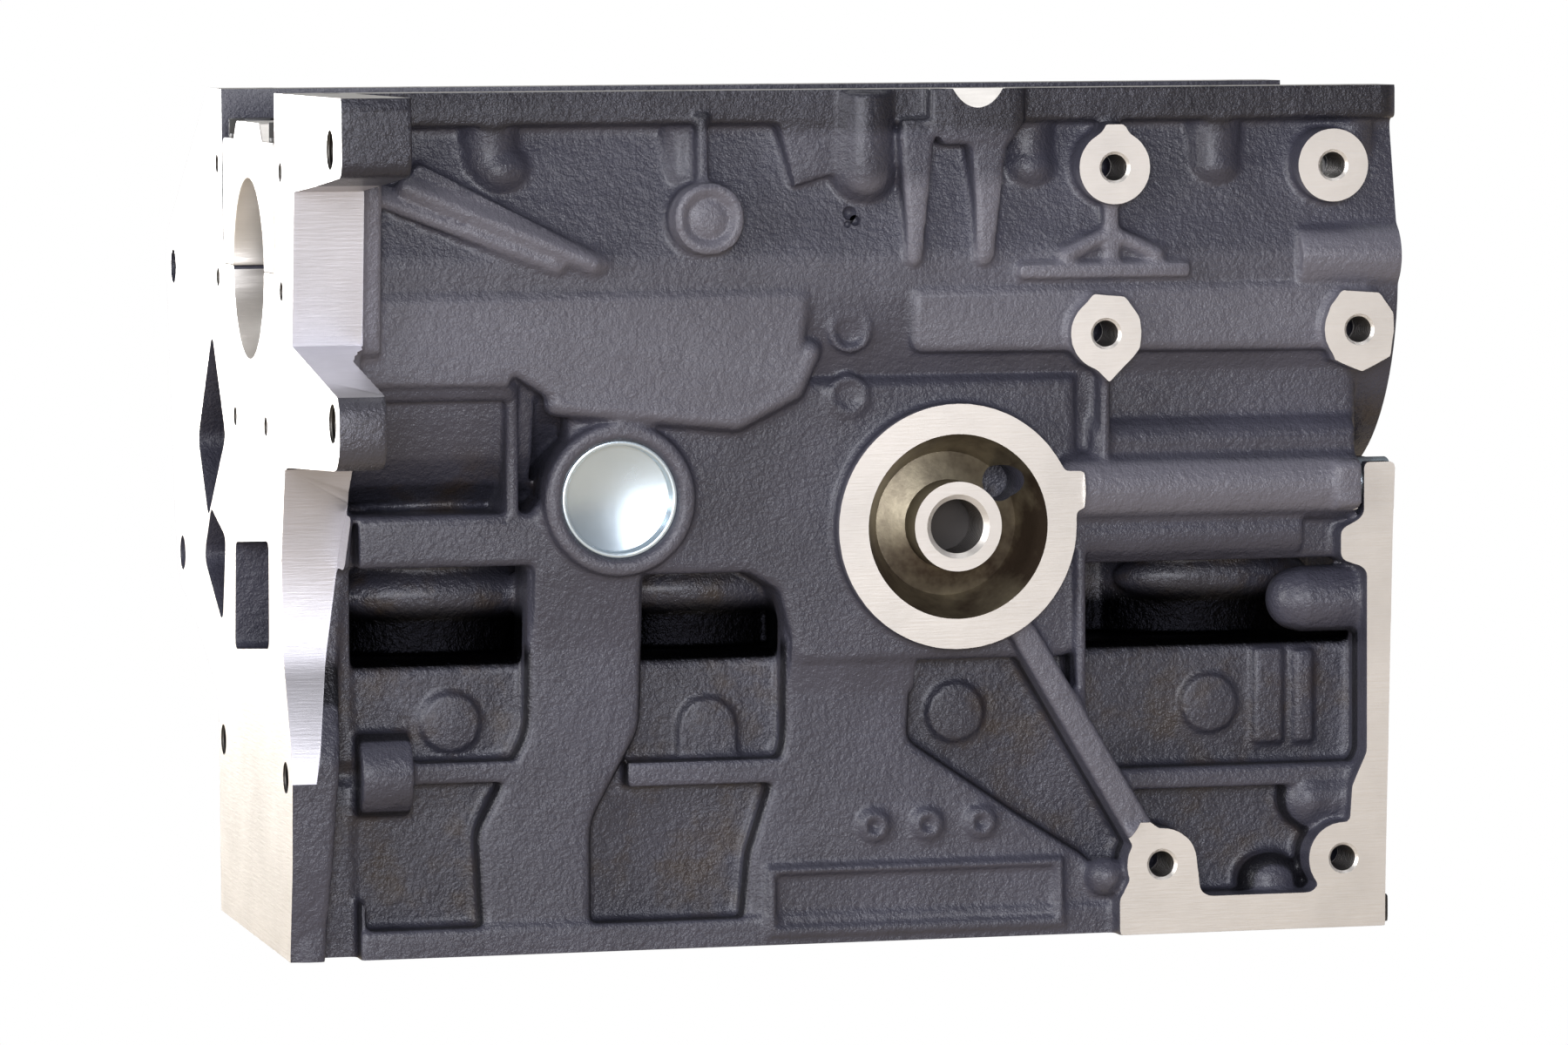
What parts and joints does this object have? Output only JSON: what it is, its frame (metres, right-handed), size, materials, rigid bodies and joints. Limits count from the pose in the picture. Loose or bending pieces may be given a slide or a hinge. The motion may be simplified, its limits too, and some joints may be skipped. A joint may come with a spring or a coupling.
{
  "type": "engine block",
  "caption": "Bare four-cylinder in-line engine block in black-painted cast iron, with main bearing caps, core plugs and oil filter seat.",
  "frame": {"origin": "centre of the deck face, which the block stands on", "axes": "+Z from the deck face to the sump rail, +X along the crankshaft from the flywheel end to the timing end; the oil filter side faces -Y"},
  "size_m": [0.37, 0.342, 0.278],
  "materials": {
    "block_paint": "satin black paint over cast grain",
    "machined_iron": "machined",
    "bolt_steel": "dark phosphate",
    "plug_steel": "bright zinc"
  },
  "bodies": {
    "root": {"block_casting": "block_paint", "core_plug_near": "plug_steel", "core_plugs_far": "plug_steel", "gallery_plug": "plug_steel", "main_bearing_cap_1": "machined_iron", "main_bearing_cap_2": "machined_iron", "main_bearing_cap_3": "machined_iron", "main_bearing_cap_4": "machined_iron", "main_bearing_cap_5": "machined_iron", "main_cap_bolts": "bolt_steel"}
  },
  "joints": []
}
